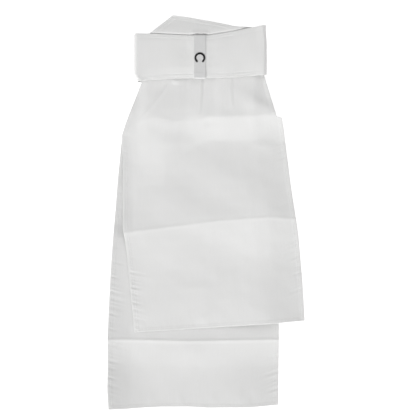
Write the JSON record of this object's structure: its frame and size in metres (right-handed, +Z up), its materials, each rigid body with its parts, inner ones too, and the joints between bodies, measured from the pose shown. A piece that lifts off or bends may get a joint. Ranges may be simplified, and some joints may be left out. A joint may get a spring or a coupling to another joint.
{
  "type": "riding stock tie",
  "caption": "Ready-tied white riding stock tie lying flat: ring-shaped neck band with a keeper loop and embroidered horseshoe, and wide hemmed tails pleated in under it.",
  "frame": {"origin": "middle of the lying tie's outline, on the surface it lies on", "axes": "+X along the neck band, +Y from the hems of the tails up to the neck band, +Z up from the surface"},
  "size_m": [0.2806, 0.563, 0.0191],
  "materials": {
    "white_cotton": "plain-woven cotton with a soft sheen",
    "keeper_cotton": "ribbed cotton",
    "black_thread": "satin-stitched thread",
    "hook_tape": "hook-and-loop pile"
  },
  "bodies": {
    "root": {"neck_band": "white_cotton", "keeper_loop": "keeper_cotton", "emblem": "black_thread", "closure_tape": "hook_tape", "front_tail": "white_cotton", "back_tail": "white_cotton"}
  },
  "joints": []
}
